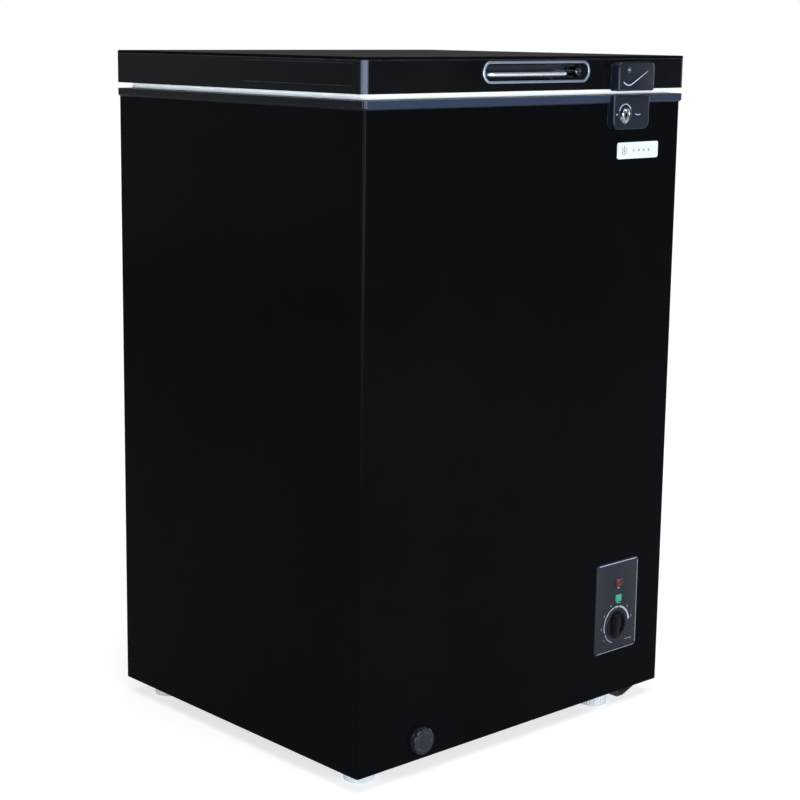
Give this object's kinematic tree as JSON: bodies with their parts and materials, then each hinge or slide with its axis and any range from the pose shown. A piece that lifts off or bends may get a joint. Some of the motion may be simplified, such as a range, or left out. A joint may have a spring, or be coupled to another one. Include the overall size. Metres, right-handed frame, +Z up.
{
  "type": "chest freezer",
  "caption": "Small black chest freezer with a hinged lid, recessed chromed handle, lock, control panel and wire basket.",
  "frame": {"origin": "on the floor, under the middle of the closed freezer's bounding box", "axes": "+Z up, +Y towards the hinges at the back, +X towards the machine bay, on the right of someone who faces the front"},
  "size_m": [0.545, 0.495, 0.845],
  "materials": {
    "black_enamel": "gloss",
    "back_steel": "satin",
    "foam": "matte",
    "liner_white": "embossed satin",
    "rim_plastic": "gloss",
    "lid_plastic": "satin",
    "white_plastic": "gloss",
    "gasket_rubber": "matte",
    "chrome_trim": "polished",
    "lock_plastic": "satin",
    "steel_fastener": "satin",
    "hinge_steel": "satin",
    "panel_plastic": "satin",
    "knob_plastic": "gloss",
    "cup_plastic": "gloss",
    "black_plastic": "satin",
    "red_lens": "gloss",
    "green_lens": "gloss",
    "badge_metal": "satin",
    "foot_plastic": "satin",
    "vent_cover": "satin",
    "compressor_black": "gloss",
    "mount_rubber": "matte",
    "copper_tube": "satin",
    "coil_aluminium": "satin",
    "coil_steel": "satin",
    "basket_coating": "gloss"
  },
  "bodies": {
    "cabinet": {"outer_wrap": "black_enamel", "back_panel": "back_steel", "bottom_panel": "back_steel", "compressor_base": "back_steel", "base_stiffener": "back_steel", "machine_bulkhead": "back_steel", "cabinet_foam": "foam", "inner_liner": "liner_white", "top_rim": "rim_plastic", "drain_spout": "white_plastic", "lock_body": "lock_plastic", "lock_screws": "steel_fastener", "cabinet_screws": "steel_fastener", "compressor_bolts": "steel_fastener", "foot_nuts": "steel_fastener", "hinge_pins": "steel_fastener", "hinge_bracket_left": "hinge_steel", "hinge_bracket_right": "hinge_steel", "control_panel": "panel_plastic", "side_grille": "black_plastic", "cord_gland": "black_plastic", "thermostat_body": "black_plastic", "compressor_relay_cover": "black_plastic", "red_lamp": "red_lens", "green_lamp": "green_lens", "badge": "badge_metal", "rear_cover": "vent_cover", "compressor": "compressor_black", "compressor_grommets": "mount_rubber", "suction_line": "copper_tube", "discharge_line": "copper_tube", "filter_drier": "copper_tube", "capillary_tube": "copper_tube", "thermostat_bulb": "copper_tube", "evaporator_coil": "coil_aluminium", "condenser_coil": "coil_steel"},
    "lid": {"lid_frame": "lid_plastic", "lid_top_panel": "black_enamel", "lid_foam": "foam", "lid_inner_panel": "white_plastic", "lid_gasket": "gasket_rubber", "handle_bezel": "chrome_trim", "handle_cup": "cup_plastic", "handle_grip": "chrome_trim", "handle_rosette": "chrome_trim", "lock_keeper": "lock_plastic", "hinge_leaf_left": "hinge_steel", "hinge_leaf_right": "hinge_steel"},
    "knob": {"thermostat_knob": "knob_plastic"},
    "lock_core": {"lock_barrel": "chrome_trim", "lock_cam": "steel_fastener"},
    "keyhole_flap": {"keyhole_cover": "chrome_trim"},
    "drain_cap": {"drain_cap": "panel_plastic"},
    "drain_plug": {"drain_plug": "mount_rubber"},
    "basket": {"wire_basket": "basket_coating"},
    "foot_front_left": {"foot_front_left": "foot_plastic"},
    "foot_rear_left": {"foot_rear_left": "foot_plastic"},
    "foot_front_right": {"foot_front_right": "foot_plastic"},
    "foot_rear_right": {"foot_rear_right": "foot_plastic"}
  },
  "joints": [
    {"name": "lid_hinge", "type": "hinge", "parent": "cabinet", "child": "lid", "pos_m": [0, 0.242, 0.8015], "axis": [-1, 0, 0], "range_deg": [0, 90]},
    {"name": "thermostat_turn", "type": "hinge", "parent": "cabinet", "child": "knob", "pos_m": [0.1803, -0.23, 0.114], "axis": [0, -1, 0], "range_deg": [0, 270]},
    {"name": "lock_turn", "type": "hinge", "parent": "cabinet", "child": "lock_core", "pos_m": [0.152, -0.236, 0.77], "axis": [0, -1, 0], "range_deg": [0, 90]},
    {"name": "keyhole_flap_swing", "type": "hinge", "parent": "cabinet", "child": "keyhole_flap", "pos_m": [0.152, -0.242, 0.7795], "axis": [0, -1, 0], "range_deg": [-110, 110]},
    {"name": "drain_cap_pull", "type": "slide", "parent": "cabinet", "child": "drain_cap", "axis": [0, -1, 0], "range_m": [0, 0.03]},
    {"name": "drain_plug_lift", "type": "slide", "parent": "cabinet", "child": "drain_plug", "axis": [0, 0, 1], "range_m": [0, 0.03]},
    {"name": "basket_slide", "type": "slide", "parent": "cabinet", "child": "basket", "axis": [-1, 0, 0], "range_m": [0, 0.25]},
    {"name": "foot_front_left_turn", "type": "hinge", "parent": "cabinet", "child": "foot_front_left", "pos_m": [-0.23, -0.19, 0], "axis": [0, 0, 1], "continuous": true},
    {"name": "foot_rear_left_turn", "type": "hinge", "parent": "cabinet", "child": "foot_rear_left", "pos_m": [-0.23, 0.19, 0], "axis": [0, 0, 1], "continuous": true},
    {"name": "foot_front_right_turn", "type": "hinge", "parent": "cabinet", "child": "foot_front_right", "pos_m": [0.176, -0.2, 0], "axis": [0, 0, 1], "continuous": true},
    {"name": "foot_rear_right_turn", "type": "hinge", "parent": "cabinet", "child": "foot_rear_right", "pos_m": [0.176, 0.2, 0], "axis": [0, 0, 1], "continuous": true}
  ]
}
